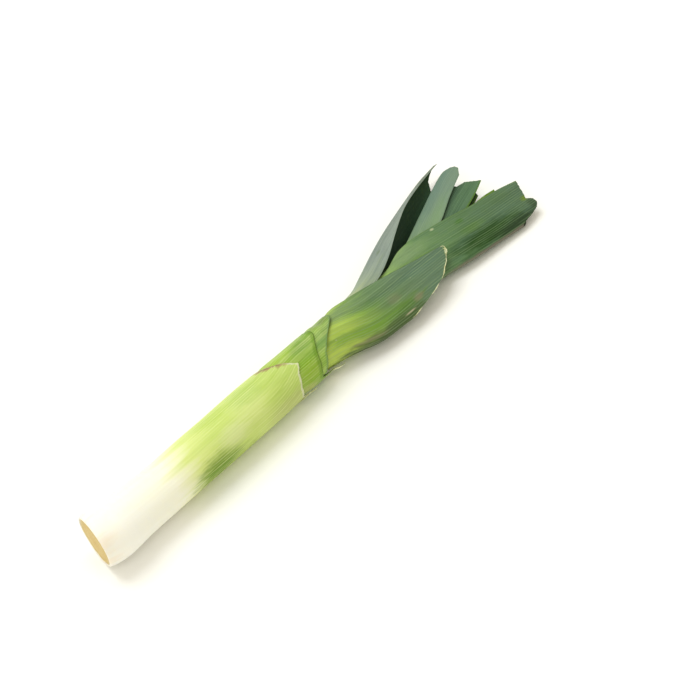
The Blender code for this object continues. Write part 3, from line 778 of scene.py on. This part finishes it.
def build_leaf(name, node, side, stations, end, skin, seed, rib_height=0.1, rib_count=26, jag=0.3, wave=0.25):
    """A folded leaf: side is +1 with its keel on the left and -1 on the right.

    Its middle surface runs along x from the first station to the cut end, whose x is given by end as (share
    across, x), from -1 at the lower margin through 0 at the keel to 1 at the upper margin. Two skins stand
    off it by half the wall, moved by ribs and a slow wave, thicker at the keel and thinner at the margins,
    and joined all round.
    """
    share = np.linspace(-1.0, 1.0, ACROSS_LEAF)
    end_share, end_x = np.array(end, float).T
    cut_x = np.interp(share, end_share, end_x) + jag * frayed(share * 34.0, seed)
    steps = np.linspace(0.0, 1.0, ALONG_LEAF)[:, None]
    steps = steps * (1.0 + 0.25 * (1.0 - steps))
    start_x = stations[0][0]
    x = start_x + steps * (cut_x - start_x)
    columns = np.moveaxis(along_table(stations, x), -1, 0)
    keel_y, keel_z, up_y, up_z, up_bulge, low_y, low_z, low_bulge, crease = columns
    inward = -side
    across = np.broadcast_to(np.abs(share), x.shape)
    upper_y, upper_z, upper_length = half_section(inward * keel_y, keel_z, inward * up_y, up_z, up_bulge,
                                                  crease, across)
    lower_y, lower_z, lower_length = half_section(inward * keel_y, -keel_z, inward * low_y, -low_z, low_bulge,
                                                  crease, across)
    y = inward * np.where(share > 0, upper_y, lower_y)
    z = np.where(share > 0, upper_z, -lower_z)
    middle = np.stack([x, y, z], axis=-1)
    normal = np.cross(np.gradient(middle, axis=0), np.gradient(middle, axis=1))
    normal *= -side / np.maximum(np.linalg.norm(normal, axis=-1, keepdims=True), 1e-9)
    width = np.where(share > 0, upper_length, lower_length)
    from_margin = (1.0 - np.abs(share)) * width
    to_cut = cut_x - x
    free = smooth_step((x - start_x - 30.0) / 40.0)
    ribs = rib_height * np.sin(np.pi * rib_count * share + uneven(x / 150.0, share * 2.0, seed + 1))
    slow = wave * uneven(x / 45.0, share * 0.8, seed + 2) * free
    fringe = smooth_step(np.minimum(from_margin / 1.2, to_cut / 0.8))
    thickness = (LEAF_WALL * (0.55 + 0.3 * hump(share * width, 0.0, 2.5))) * (0.35 + 0.65 * fringe)
    lift = (slow + 0.12 * ribs)[..., None] * normal
    outside = middle + lift + normal * (thickness / 2.0 + 0.5 * ribs * fringe)[..., None]
    inside = middle + lift - normal * (thickness / 2.0)[..., None]
    rows, columns = x.shape
    count = rows * columns
    floor_gap = 0.15
    points = np.concatenate([outside.reshape(-1, 3), inside.reshape(-1, 3)])
    points[:, 2] = np.maximum(points[:, 2], floor_gap)
    border = np.concatenate([np.arange(columns), np.arange(1, rows) * columns + columns - 1,
                             (rows - 1) * columns + np.arange(columns - 2, -1, -1),
                             np.arange(rows - 2, 0, -1) * columns])
    following = np.roll(border, -1)
    rim = np.stack([border, following, following + count, border + count], axis=-1)
    turned = side > 0
    faces = np.concatenate([grid_faces(rows, columns, False, 0, not turned),
                            grid_faces(rows, columns, False, count, turned), rim[:, ::-1] if turned else rim])
    fields = {field: np.tile(np.broadcast_to(values, x.shape).ravel(), 2)
              for field, values in (("along", x), ("across", share * width), ("to_cut", to_cut),
                                    ("from_margin", from_margin))}
    fields["inside"] = np.repeat([0.0, 1.0], count)
    return leek_piece(name, points, faces, fields, skin, node)


VEIN_SHARE = 0.42  # how far a vein's line goes to the pale streak's colour


def leaf_skin(name, stops, inside_stops, seed, vein_spacing, dark_streak, light_streak, cut, rib_bump,
              bloom=None, blotches=(), specks=None, margin=None, roughness=0.48):
    """The skin of a leaf blade: colours along x outside and inside, streaks, veins, wax, marks and edges.

    dark_streak and light_streak are (colour, share). bloom is (colour, share) of the wax film in broad
    clouds. specks is (colour, size, amount). margin and cut are (colour, reach in mm, share).
    """
    material, tree, shader = tissue(name, roughness, 0.08)
    along = field_value(tree, "along")
    across = field_value(tree, "across")
    to_cut = field_value(tree, "to_cut")
    from_margin = field_value(tree, "from_margin")
    inner = field_value(tree, "inside")
    fine = put_group(tree, FIBRES, Along=along, Across=across, Spacing=vein_spacing, Length=150.0, Seed=seed)
    broad = put_group(tree, FIBRES, Along=along, Across=across, Spacing=vein_spacing * 3.2, Length=110.0,
                      Seed=seed + 3.0)
    shift = times(tree, maths(tree, "SUBTRACT", broad["Streak"], 0.5), 14.0)
    place = maths(tree, "ADD", along, shift)
    colour = colours_along(tree, place, stops)
    cloud_place = vector(tree, times(tree, across, 0.09), times(tree, along, 0.035), seed)
    clouds = noise(tree, cloud_place, 1.0, 4.0, 0.62)
    if bloom:
        waxed = times(tree, between(tree, clouds, 0.38, 0.66), bloom[1])
        waxed = times(tree, waxed, between(tree, along, 250.0, 300.0))
        colour = mixed(tree, waxed, colour, bloom[0])
    colour = blotched(tree, colour, along, across, blotches)
    colour = mixed(tree, times(tree, fine["Streak"], dark_streak[1]), colour, dark_streak[0])
    pale = times(tree, maths(tree, "SUBTRACT", 1.0, broad["Streak"]), light_streak[1])
    colour = mixed(tree, pale, colour, light_streak[0])
    colour = mixed(tree, times(tree, fine["Vein"], VEIN_SHARE), colour, light_streak[0])
    inside_colour = colours_along(tree, place, inside_stops)
    inside_streak = (*(0.55 * channel for channel in display(inside_stops[-1][1])[:3]), 1.0)
    inside_colour = mixed(tree, times(tree, fine["Streak"], 0.35), inside_colour, inside_streak)
    colour = mixed(tree, inner, colour, inside_colour)
    if specks:
        speck_colour, size, amount = specks
        marks = put_group(tree, SPECKS, Along=along, Across=across, Size=size, Amount=amount, Seed=seed)
        shown = times(tree, marks["Mask"], maths(tree, "SUBTRACT", 0.8, inner, clamp=True))
        colour = mixed(tree, shown, colour, speck_colour)
    if margin:
        worn = maths(tree, "ADD", from_margin, times(tree, fine["Streak"], margin[1] * 0.3))
        worn = times(tree, between(tree, worn, margin[1], 0.0), margin[2])
        colour = mixed(tree, worn, colour, margin[0])
    dried = maths(tree, "ADD", to_cut, times(tree, fine["Streak"], cut[1] * 0.5))
    dried = times(tree, between(tree, dried, cut[1], cut[1] * 0.25), cut[2])
    colour = mixed(tree, dried, colour, cut[0])
    tree.links.new(colour, shader.inputs["Base Color"])
    rough = add_node(tree, "ShaderNodeMapRange", {"Value": clouds, "From Min": 0.3, "From Max": 0.7,
                                                  "To Min": roughness - 0.07, "To Max": roughness + 0.1})
    tree.links.new(rough.outputs[0], shader.inputs["Roughness"])
    raise_surface(tree, shader, fine["Rib"], rib_bump)
    return material


SHORT_STATIONS = (
    tube(203, -1, 12.2),
    station(222, (-14.1, 17.0), (13.8, 17.9, 87), (13.8, 16.1, 87), 12.4),
    station(238, (-16.4, 16.4), (14.6, 18.6, 81), (14.6, 15.0, 81), 12.0),
    station(250, (-18.8, 15.2), (14.8, 20.2, 75), (14.8, 12.4, 66), 11.0),
    station(262, (-22.5, 13.8), (14.9, 25.8, 65), (13.6, 8.4, 50), 8.0),
    station(276, (-26.6, 12.6), (8.0, 33.0, 40), (7.0, 2.6, 28), 6.0),
    station(298, (-29.2, 12.0), (4.2, 32.6, 32), (0.0, 1.5, 23), 5.0),
    station(323, (-30.0, 11.4), (0.2, 30.6, 24), (-4.0, 1.0, 22), 4.5),
    station(347, (-31.0, 11.0), (-3.1, 27.6, 18), (-7.0, 1.3, 20), 4.0),
    station(374, (-32.0, 10.6), (-6.0, 23.6, 14), (-10.0, 1.6, 16), 4.0),
)
SHORT_END = ((-1, 302), (-0.6, 311), (-0.2, 314), (0, 313), (0.06, 320), (0.1, 328), (0.2, 341), (0.3, 351),
             (0.5, 361), (0.65, 366), (0.8, 371), (1, 374))
short_skin = leaf_skin(
    "Short leaf skin",
    [(215, (200, 224, 88)), (248, (184, 210, 78)), (270, (142, 178, 70)),
     (288, (106, 144, 72)), (310, (102, 132, 92)), (335, (94, 124, 102)),
     (374, (84, 114, 92))],
    [(215, (150, 178, 84)), (300, (92, 128, 52)), (374, (62, 92, 52))],
    3.0, vein_spacing=1.9, dark_streak=((36, 66, 44), 0.24), light_streak=((150, 178, 132), 0.16),
    bloom=((106, 130, 110), 0.3),
    blotches=[(250, 36, 26, 8, (118, 146, 94), 0.6),
              (300, 36, 46, 7, (94, 120, 100), 0.5),
              (274, 12.5, 44, 4.5, (112, 160, 22), 0.7), (308, 9.5, 18, 3.4, (70, 116, 10), 0.7),
              (302, 21, 6, 3.4, (138, 136, 106), 0.5), (322, 10.5, 5, 2.5, (146, 138, 112), 0.7),
              # the two patches on this line and the first on the next, dark olive about the keel, are painted
              # shade where the leaf folds under, laid over its own olive green
              (288, 1, 34, 6, (66, 86, 12), 1.0), (284, -5, 44, 7, (50, 66, 6), 1.0),
              (298, 3, 20, 4.5, (54, 80, 0), 0.9), (266, 4, 15, 1.4, (150, 140, 100), 0.6),
              (308, 5.2, 5, 0.6, (206, 194, 166), 0.8)],
    specks=((178, 190, 146), 3.6, 0.05), margin=((96, 122, 84), 1.4, 0.5),
    cut=((170, 184, 122), 0.8, 0.7), rib_bump=0.35)
short_leaf = build_leaf("short_leaf_blade", "short_leaf", -1, SHORT_STATIONS, SHORT_END, short_skin, 101,
                        rib_height=0.12, rib_count=30, jag=0.5)

short_rows = np.array([vertex.co for vertex in short_leaf.data.vertices])[:ALONG_LEAF * ACROSS_LEAF]
short_edge = (short_rows.reshape(ALONG_LEAF, ACROSS_LEAF, 3)[-1] - ORIGIN) / MM


def at_short_edge(share, beyond, lift):
    """A point of the short leaf's cut edge at a share across, moved beyond the edge and up by millimetres."""
    columns = np.linspace(-1.0, 1.0, ACROSS_LEAF)
    point = np.array([np.interp(share, columns, short_edge[:, axis]) for axis in range(3)])
    return tuple(point + (beyond, -0.3 * lift, lift))


# torn strips along the cut: each point is (share across, millimetres beyond the edge, millimetres above it)
end_shreds = (
    ((0.99, -2.4, 0.3), (0.95, 0.2, 0.8), (0.88, 1.0, 1.0), (0.80, 0.3, 0.6), (0.72, 0.5, 0.5),
     (0.64, 0.9, 0.5)),
    ((0.90, -1.0, 0.4), (0.83, 1.2, 1.3), (0.76, 1.7, 1.5), (0.70, 0.6, 0.9)),
    ((0.66, 0.3, 0.4), (0.56, 0.8, 0.4), (0.46, 0.2, 0.4), (0.36, 0.5, 0.3), (0.28, 0.3, 0.3)),
    ((0.24, 0.2, 0.3), (0.18, 1.1, 0.5), (0.13, 0.6, 0.4)),
    ((-0.02, -5.0, 0.4), (-0.01, -2.0, 0.7), (0.01, 0.6, 1.0), (0.04, 1.6, 1.4)),
)
for number, strip in enumerate(end_shreds):
    path = [at_short_edge(*place) for place in strip]
    shred(f"short_leaf_shred_{number}", path, 0.42, DRY_SKIN, "short_leaf")


# --- Left leaf: folded along a keel on the left, its upper half narrowing to a long thin point. The outside
# has a pale waxy bloom, the inside is dark and smooth, and the far half is cut off raggedly. --------------

LEFT_STATIONS = (
    tube(218, 1, 12.0),
    station(240, (13.2, 17.0), (-13.1, 18.2, 86), (-13.1, 15.8, 86), 11.8),
    station(250, (13.2, 17.0), (-12.2, 21.8, 76), (-12.2, 12.2, 76), 11.4),
    station(262, (13.9, 17.0), (-9.2, 27.0, 62), (-9.2, 6.4, 62), 11.6),
    station(278, (16.2, 17.2), (-4.0, 30.6, 44), (-3.0, 3.4, 44), 8.0),
    station(294, (18.6, 17.0), (1.5, 30.9, 30), (-1.0, 3.0, 34), 5.0),
    station(313, (25.2, 16.7), (6.0, 29.8, 14), (3.0, 2.2, 18), 3.0),
    station(332, (32.2, 16.3), (13.2, 29.8, 8), (8.0, 1.3, 10), 2.4),
    station(357, (40.3, 15.6), (26.0, 29.6, 4), (14.0, 0.9, 5), 2.2),
    station(384, (48.0, 14.5), (38.5, 28.0, 2), (22.0, 0.7, 4), 2.2),
    station(410, (54.2, 13.5), (48.0, 23.0, 2), (28.0, 0.7, 3), 2.2),
    station(432, (58.8, 12.8), (55.0, 17.5, 2), (34.0, 0.7, 3), 2.0),
    station(455, (61.8, 12.0), (60.4, 14.0, 2), (45.0, 4.0, 3), 1.2),
)
LEFT_END = ((-1, 430), (-0.75, 436), (-0.5, 431), (-0.2, 438), (0, 452), (1, 455))
left_skin = leaf_skin(
    "Left leaf skin",
    [(218, (190, 206, 112)), (284, (168, 184, 118)), (300, (138, 156, 122)),
     (330, (116, 131, 126)), (390, (97, 112, 106)), (455, (70, 84, 66))],
    [(218, (96, 124, 60)), (300, (48, 80, 42)), (360, (44, 78, 58)),
     (455, (48, 84, 52))],
    5.0, vein_spacing=1.2, dark_streak=((120, 140, 128), 0.35), light_streak=((184, 196, 180), 0.25),
    bloom=((146, 160, 152), 0.4),
    blotches=[(338, 9.5, 3.2, 1.4, (84, 106, 80), 0.95), (330, 16, 6, 2, (128, 146, 112), 0.5)],
    specks=((128, 146, 126), 5.0, 0.06), margin=((140, 156, 132), 1.0, 0.35),
    cut=((120, 132, 100), 0.8, 0.6), roughness=0.55, rib_bump=0.16)
build_leaf("left_leaf_blade", "left_leaf", 1, LEFT_STATIONS, LEFT_END, left_skin, 111, rib_height=0.06,
           rib_count=24, jag=0.5)


# --- Right leaf: the broad blade folded along a keel on the right and cut across at its end. It is mid
# green with close parallel veins, yellow-green where it leaves the bundle and darker towards its end. -----

RIGHT_STATIONS = (
    tube(221, -1, 10.6),
    station(244, (-11.7, 17.0), (11.6, 17.9, 86), (11.6, 16.1, 86), 10.6),
    station(262, (-12.1, 16.8), (11.5, 19.6, 78), (11.5, 14.4, 78), 10.8),
    station(278, (-13.9, 15.4), (11.2, 24.0, 58), (9.0, 8.8, 54), 7.0),
    station(296, (-15.4, 13.4), (9.0, 27.0, 38), (6.0, 5.2, 36), 5.0),
    station(318, (-16.4, 11.6), (7.2, 26.6, 22), (2.0, 4.2, 22), 4.0),
    station(347, (-18.2, 9.8), (14.8, 25.4, 10), (5.0, 3.2, 14), 3.2),
    station(395, (-24.6, 7.6), (11.7, 22.6, 3), (7.0, 1.8, 6), 3.0),
    station(425, (-28.6, 6.0), (6.0, 20.6, 2), (4.0, 1.2, 4), 3.0),
    station(457, (-31.6, 4.4), (1.4, 18.6, 2), (0.0, 0.7, 3), 3.0),
    station(475, (-33.4, 3.7), (-2.7, 17.5, 2), (-4.0, 0.7, 3), 3.0),
)
RIGHT_END = ((-1, 462), (-0.6, 470), (-0.15, 456), (0, 448), (0.05, 450), (0.12, 462), (0.2, 470), (0.3, 474),
             (0.42, 473), (0.5, 468.5), (0.6, 470), (1, 475))
right_skin = leaf_skin(
    "Right leaf skin",
    [(221, (158, 196, 80)), (318, (166, 206, 108)), (338, (154, 186, 120)),
     (362, (108, 146, 88)), (405, (84, 118, 76)), (475, (82, 108, 86))],
    [(221, (150, 180, 80)), (330, (70, 100, 52)), (475, (44, 68, 42))],
    7.0, vein_spacing=1.75, dark_streak=((30, 58, 34), 0.26), light_streak=((132, 162, 116), 0.14),
    bloom=((92, 122, 108), 0.35),
    # the first patch, dark green on the keel side of the blade, is painted shade where the blade curves down
    # towards its keel
    blotches=[(418, 10, 34, 7.5, (26, 68, 0), 0.95), (446, 4.5, 24, 5, (30, 52, 26), 0.85),
              (407, 32, 4, 1.6, (62, 112, 26), 0.9), (384, 38.2, 1.6, 0.9, (196, 208, 166), 0.9),
              (412, 22, 12, 3, (88, 128, 44), 0.5), (452, 30, 9, 5, (78, 108, 64), 0.4),
              (345, 32, 26, 5, (142, 172, 124), 0.6), (345, 20, 22, 5, (122, 172, 50), 0.6),
              (468, 18.5, 4, 1.8, (112, 140, 16), 0.9), (472, 11, 6, 5, (46, 66, 44), 0.7),
              (420, 0, 60, 1.6, (134, 118, 112), 0.8)],
    specks=((136, 162, 114), 3.6, 0.04), margin=((120, 156, 84), 0.9, 0.6),
    cut=((40, 58, 36), 0.9, 0.55), rib_bump=0.30)
build_leaf("right_leaf_blade", "right_leaf", -1, RIGHT_STATIONS, RIGHT_END, right_skin, 121,
           rib_height=0.10, rib_count=34, jag=0.35)


# --- Round-tipped leaf: the narrow blade in the middle of the fan, grey-green under its bloom, its end cut
# round with a nick on the right. --------------------------------------------------------------------------

ROUND_STATIONS = (
    tube(224, 1, 9.2),
    station(248, (10.3, 17.0), (-10.2, 17.9, 84), (-10.2, 16.1, 84), 9.4),
    station(266, (10.4, 17.0), (-9.4, 20.0, 70), (-9.4, 14.0, 70), 8.6),
    station(290, (11.8, 17.1), (-7.5, 23.0, 44), (-7.5, 10.4, 46), 6.0),
    station(320, (12.6, 17.1), (-4.0, 21.6, 20), (-4.0, 9.8, 24), 3.2),
    station(345, (15.2, 17.0), (1.5, 20.4, 7), (-1.0, 10.0, 11), 2.2),
    station(364, (20.2, 17.0), (5.5, 20.1, 3), (4.0, 10.8, 5), 2.0),
    station(397, (31.9, 16.8), (12.6, 20.4, 2), (13.5, 11.4, 3), 2.0),
    station(426, (42.3, 16.8), (25.1, 20.5, 2), (25.0, 11.6, 3), 2.0),
    station(443, (47.5, 16.8), (31.8, 20.4, 2), (32.0, 11.8, 3), 2.0),
    station(460, (50.5, 16.8), (38.0, 20.2, 2), (38.0, 12.2, 3), 2.0),
)
ROUND_END = ((-1, 438), (-0.5, 450), (0, 441), (0.12, 447.5), (0.3, 453.5), (0.5, 456.5), (0.75, 456.5),
             (1, 450))
round_skin = leaf_skin(
    "Round-tipped leaf skin",
    [(224, (130, 168, 86)), (345, (156, 190, 114)), (380, (130, 160, 116)),
     (420, (118, 142, 124)), (460, (112, 134, 116))],
    [(224, (104, 136, 70)), (340, (66, 94, 66)), (460, (54, 80, 60))],
    9.0, vein_spacing=1.4, dark_streak=((94, 122, 104), 0.28), light_streak=((140, 164, 140), 0.25),
    bloom=((118, 142, 128), 0.4),
    blotches=[(425, 5, 40, 4.5, (96, 126, 116), 0.7), (392, 15, 30, 5, (124, 158, 104), 0.6)],
    specks=((132, 154, 132), 3.6, 0.03),
    margin=((90, 118, 92), 1.2, 0.5), cut=((92, 116, 90), 0.7, 0.5), roughness=0.52, rib_bump=0.14)
build_leaf("round_tip_leaf_blade", "round_tip_leaf", 1, ROUND_STATIONS, ROUND_END, round_skin, 131,
           rib_height=0.05, rib_count=20, jag=0.12, wave=0.15)


# --- Dark leaf: behind the round-tipped one and to the right of it, cut square, with a bright green torn
# sliver along its right margin. ---------------------------------------------------------------------------

DARK_STATIONS = (
    tube(227, 1, 7.9),
    station(252, (8.6, 17.0), (-8.4, 18.0, 82), (-6.6, 11.6, 64), 7.8),
    station(272, (9.2, 17.0), (-7.0, 21.4, 58), (-3.6, 11.2, 48), 7.0),
    station(296, (10.0, 17.0), (-6.0, 20.6, 38), (-3.0, 12.2, 34), 4.5),
    station(325, (10.4, 16.7), (-4.0, 19.0, 16), (-3.0, 13.0, 18), 2.6),
    station(350, (12.6, 16.4), (-2.0, 18.0, 6), (-3.0, 13.2, 8), 1.7),
    station(380, (20.0, 16.2), (0.0, 17.9, 3), (-1.0, 13.4, 4), 1.4),
    station(427, (34.0, 16.2), (8.0, 18.2, 2), (6.5, 13.4, 2), 1.3),
    station(447, (39.4, 16.2), (14.2, 18.0, 2), (12.6, 13.6, 2), 1.3),
    station(462, (43.4, 16.2), (20.0, 18.0, 2), (19.0, 13.8, 2), 1.3),
)
DARK_END = ((-1, 446), (-0.6, 450), (0, 436), (0.35, 440), (0.5, 448), (1, 458))
dark_skin = leaf_skin(
    "Dark leaf skin",
    [(227, (110, 150, 70)), (380, (78, 108, 66)), (420, (86, 116, 86)),
     (462, (100, 134, 98))],
    [(227, (90, 120, 60)), (380, (56, 84, 54)), (462, (58, 86, 56))],
    11.0, vein_spacing=1.2, dark_streak=((58, 86, 64), 0.4), light_streak=((110, 144, 108), 0.3),
    bloom=((90, 122, 92), 0.3), margin=((84, 124, 10), 2.6, 0.9),
    # the first patch, dark along the keel on the left, is a painted shadow cast by the round-tipped leaf
    blotches=[(430, 7, 44, 6, (38, 66, 50), 0.8), (440, 19, 30, 5, (84, 118, 84), 0.7)],
    cut=((70, 100, 50), 0.8, 0.5), rib_bump=0.2)
build_leaf("dark_leaf_blade", "dark_leaf", 1, DARK_STATIONS, DARK_END, dark_skin, 141, rib_height=0.06,
           rib_count=22, jag=0.3, wave=0.12)


# --- Inner leaf: the small pale green leaf inside the right one. Only the upper half of it was left by the
# cut. -----------------------------------------------------------------------------------------------------

INNER_STATIONS = (
    station(230, (-6.3, 17.0), (6.3, 17.9, 86), (-4.8, 13.2, 20), 6.0),
    station(254, (-6.8, 17.0), (6.4, 17.9, 78), (-5.2, 13.0, 20), 6.0),
    station(270, (-7.9, 16.0), (5.6, 18.0, 62), (-6.2, 12.6, 18), 5.4),
    station(296, (-9.2, 14.8), (1.0, 18.0, 36), (-7.0, 11.0, 12), 3.5),
    station(325, (-10.6, 12.4), (-2.0, 16.4, 16), (-7.8, 8.6, 8), 2.2),
    station(350, (-12.6, 11.0), (-1.5, 15.7, 6), (-9.0, 8.0, 4), 1.8),
    station(395, (-16.6, 9.4), (3.4, 15.9, 2), (-12.0, 6.8, 3), 1.6),
    station(427, (-19.2, 8.4), (7.2, 16.0, 2), (-14.0, 5.8, 2), 1.5),
    station(447, (-20.2, 7.8), (7.3, 15.8, 2), (-15.0, 5.2, 2), 1.5),
    station(462, (-21.2, 7.2), (5.4, 15.0, 2), (-15.5, 4.6, 2), 1.5),
)
INNER_END = ((-1, 440), (0, 450), (0.5, 456), (0.8, 455), (1, 458))
inner_skin = leaf_skin(
    "Inner leaf skin",
    [(230, (150, 186, 80)), (400, (108, 146, 30)), (462, (88, 128, 24))],
    [(230, (140, 176, 70)), (400, (90, 130, 24)), (462, (80, 118, 20))],
    13.0, vein_spacing=1.0, dark_streak=((90, 124, 50), 0.35), light_streak=((160, 190, 100), 0.3),
    cut=((150, 170, 90), 0.8, 0.5), rib_bump=0.2)
build_leaf("inner_leaf_blade", "inner_leaf", -1, INNER_STATIONS, INNER_END, inner_skin, 151,
           rib_height=0.05, rib_count=18, jag=0.3, wave=0.1)


# --- Floor, lights and camera: a plain pale floor, one large soft light high on the far left, a weaker one
# from the near side, and an even warm white surround. -----------------------------------------------------

FLOOR_HALF = 6.0
corners = np.array([(-1, -1), (1, -1), (1, 1), (-1, 1)]) * FLOOR_HALF
floor_mesh = bpy.data.meshes.new("floor")
floor_mesh.from_pydata([(x, y, 0.0) for x, y in corners], [], [(0, 1, 2, 3)])
floor_paint = bpy.data.materials.new("Pale floor")
floor_paint.use_nodes = True
floor_shader = floor_paint.node_tree.nodes["Principled BSDF"]
floor_shader.inputs["Base Color"].default_value = (0.97, 0.97, 0.97, 1.0)
floor_shader.inputs["Roughness"].default_value = 0.9
floor_shader.inputs["Specular IOR Level"].default_value = 0.1
floor_mesh.materials.append(floor_paint)
floor = bpy.data.objects.new("floor", floor_mesh)
bpy.context.scene.collection.objects.link(floor)

world = bpy.data.worlds.new("even warm white surround")
world.use_nodes = True
world.node_tree.nodes["Background"].inputs["Color"].default_value = (1.0, 0.94, 0.78, 1.0)
world.node_tree.nodes["Background"].inputs["Strength"].default_value = 0.73
bpy.context.scene.world = world
bpy.context.scene.view_settings.view_transform = "Standard"


def look_at(thing, place, target):
    """Puts a light or camera at a place and turns its -Z axis to the target, with +Y kept upwards."""
    back = np.array(place, float) - np.array(target, float)
    back /= np.linalg.norm(back)
    right = np.cross((0.0, 0.0, 1.0), back)
    right /= np.linalg.norm(right)
    up = np.cross(back, right)
    thing.matrix_world = Matrix([(*row, at) for row, at in zip(np.stack([right, up, back], axis=1), place)]
                                + [(0, 0, 0, 1)])


def soft_light(name, place, target, size, power):
    """A square area light that faces its target."""
    light = bpy.data.lights.new(name, "AREA")
    light.shape = "SQUARE"
    light.size = size
    light.energy = power
    lamp = bpy.data.objects.new(name, light)
    bpy.context.scene.collection.objects.link(lamp)
    look_at(lamp, place, target)
    return lamp


key_light = soft_light("key_light", (-0.5, 1.5, 3.2), (0.0, 0.0, 0.0), 2.2, 74.0)
key_light.data.color = (0.94, 0.98, 1.0)
soft_light("fill_light", (-2.2, -0.6, 2.6), (0.0, 0.0, 0.0), 1.2, 10.0)

CAMERA_AZIMUTH = np.radians(51.143)
CAMERA_ELEVATION = np.radians(45.9)
CAMERA_DISTANCE = 1.861
CAMERA_TARGET = np.array([0.01817, -0.03279, 0.017])
CAMERA_LENS = 129.19
view_back = np.array([-np.sin(CAMERA_AZIMUTH) * np.cos(CAMERA_ELEVATION),
                      -np.cos(CAMERA_AZIMUTH) * np.cos(CAMERA_ELEVATION), np.sin(CAMERA_ELEVATION)])
camera_data = bpy.data.cameras.new("camera")
camera_data.lens = CAMERA_LENS
camera_data.sensor_width = 36.0
camera = bpy.data.objects.new("camera", camera_data)
bpy.context.scene.collection.objects.link(camera)
look_at(camera, CAMERA_TARGET + view_back * CAMERA_DISTANCE, CAMERA_TARGET)
bpy.context.scene.camera = camera

bpy.context.view_layer.update()
